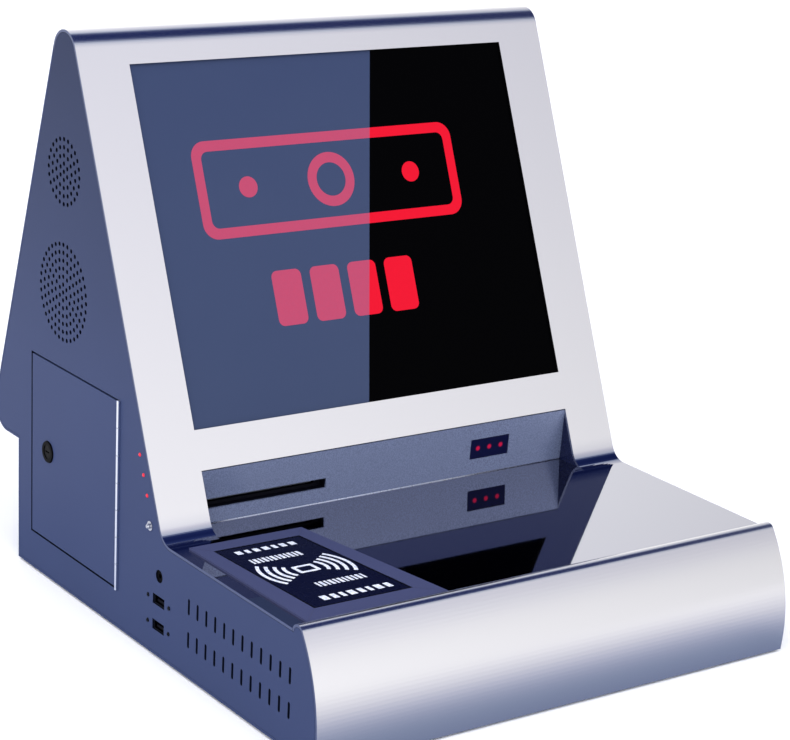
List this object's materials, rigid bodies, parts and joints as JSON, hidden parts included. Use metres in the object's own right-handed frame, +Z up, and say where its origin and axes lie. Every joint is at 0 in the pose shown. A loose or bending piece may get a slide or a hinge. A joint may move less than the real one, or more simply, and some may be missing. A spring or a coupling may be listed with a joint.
{
  "type": "self-service banknote terminal",
  "caption": "Countertop self-service terminal with a tilted touch screen, note slot under it, card pad on a flat deck, curved apron and a side service door over its cash box.",
  "frame": {"origin": "centre of the cabinet's footprint, on the surface that the feet stand on", "axes": "+Z up, -Y towards the user in front of the screen, +X to the user's right"},
  "size_m": [0.423, 0.48, 0.435],
  "materials": {
    "cabinet_sheet": "satin",
    "polished_sheet": "polished",
    "recess_sheet": "satin",
    "zinc_steel": "zinc plated",
    "chrome_trim": "polished",
    "rubber_black": "matte",
    "screen_glass": "gloss",
    "lcd_case": "matte",
    "circuit_board": "satin",
    "sensor_lens": "gloss",
    "red_lamp": "gloss",
    "reader_frame": "satin",
    "reader_window": "gloss",
    "black_plastic": "matte",
    "black_steel": "satin",
    "grey_plastic": "matte",
    "bare_aluminium": "extruded",
    "brass_parts": "turned"
  },
  "bodies": {
    "cabinet": {"side_panel_left": "cabinet_sheet", "side_panel_right": "cabinet_sheet", "front_shell": "polished_sheet", "recess_wall": "recess_sheet", "front_apron": "polished_sheet", "rear_cover": "cabinet_sheet", "rear_panel": "cabinet_sheet", "base_plate": "cabinet_sheet", "rubber_feet": "rubber_black", "chassis_rails": "zinc_steel", "screen_gasket": "rubber_black", "screen_glass": "screen_glass", "lcd_panel": "lcd_case", "lcd_brackets": "zinc_steel", "lcd_driver_board": "circuit_board", "sensor_window": "sensor_lens", "sensor_leds": "red_lamp", "sensor_board": "circuit_board", "reader_bezel": "reader_frame", "reader_face": "reader_window", "reader_board": "circuit_board", "speaker_left": "black_plastic", "speaker_right": "black_plastic", "fan_frame": "black_plastic", "status_leds": "red_lamp", "status_led_board": "circuit_board", "button_bushing": "chrome_trim", "headphone_jack": "black_plastic", "usb_ports": "chrome_trim", "usb_inserts": "black_plastic", "panel_screws": "black_steel", "door_hinge_leaf": "zinc_steel", "hinge_pin": "zinc_steel", "validator_throat": "black_plastic", "validator_chassis": "grey_plastic", "validator_head": "grey_plastic", "feed_belt": "rubber_black", "feed_motor": "bare_aluminium", "cash_cassette": "grey_plastic", "cassette_lid": "grey_plastic", "platform_spring": "zinc_steel", "mainboard": "circuit_board", "heatsink": "bare_aluminium", "board_standoffs": "brass_parts", "storage_drive": "black_plastic", "power_supply": "zinc_steel", "rear_connectors": "black_plastic"},
    "door": {"service_door": "cabinet_sheet", "lock_barrel": "black_steel", "lock_nut": "zinc_steel"},
    "lock": {"lock_cam": "black_steel"},
    "button": {"power_button": "chrome_trim"},
    "fan": {"fan_rotor": "black_plastic"},
    "feed_front": {"feed_shaft_front": "zinc_steel", "feed_rollers_front": "rubber_black"},
    "feed_rear": {"feed_shaft_rear": "zinc_steel", "feed_rollers_rear": "rubber_black"},
    "stacker": {"stacker_plate": "zinc_steel"},
    "platform": {"bill_platform": "grey_plastic"},
    "rocker": {"power_switch": "black_plastic"}
  },
  "joints": [
    {"name": "door_hinge", "type": "hinge", "parent": "cabinet", "child": "door", "pos_m": [-0.21, 0.0348, 0.1056], "axis": [0, 0, 1], "range_deg": [0, 100]},
    {"name": "lock_turn", "type": "hinge", "parent": "door", "child": "lock", "pos_m": [-0.2, 0.1477, 0.1056], "axis": [1, 0, 0], "range_deg": [0, 90]},
    {"name": "button_press", "type": "slide", "parent": "cabinet", "child": "button", "axis": [1, 0, 0], "range_m": [0, 0.002], "stiffness_N_per_m": 400},
    {"name": "fan_spin", "type": "hinge", "parent": "cabinet", "child": "fan", "pos_m": [-0.195, 0.1245, 0.2385], "axis": [1, 0, 0], "continuous": true},
    {"name": "feed_rear_spin", "type": "hinge", "parent": "cabinet", "child": "feed_rear", "pos_m": [-0.1, 0.035, 0.1007], "axis": [1, 0, 0], "continuous": true},
    {"name": "feed_front_spin", "type": "hinge", "parent": "cabinet", "child": "feed_front", "pos_m": [-0.1, 0.012, 0.1007], "axis": [1, 0, 0], "continuous": true},
    {"name": "stacker_stroke", "type": "slide", "parent": "cabinet", "child": "stacker", "axis": [0, 0, -1], "range_m": [0, 0.008]},
    {"name": "platform_travel", "type": "slide", "parent": "cabinet", "child": "platform", "axis": [0, 0, -1], "range_m": [0, 0.04], "stiffness_N_per_m": 40, "springref_m": -0.03, "deforming": ["platform_spring"]},
    {"name": "rocker_tilt", "type": "hinge", "parent": "cabinet", "child": "rocker", "pos_m": [0.11, 0.195, 0.052], "axis": [1, 0, 0], "range_deg": [0, 16]}
  ],
  "couplings": [
    {"joint": "feed_front_spin", "follows": "feed_rear_spin", "ratio": 1}
  ]
}
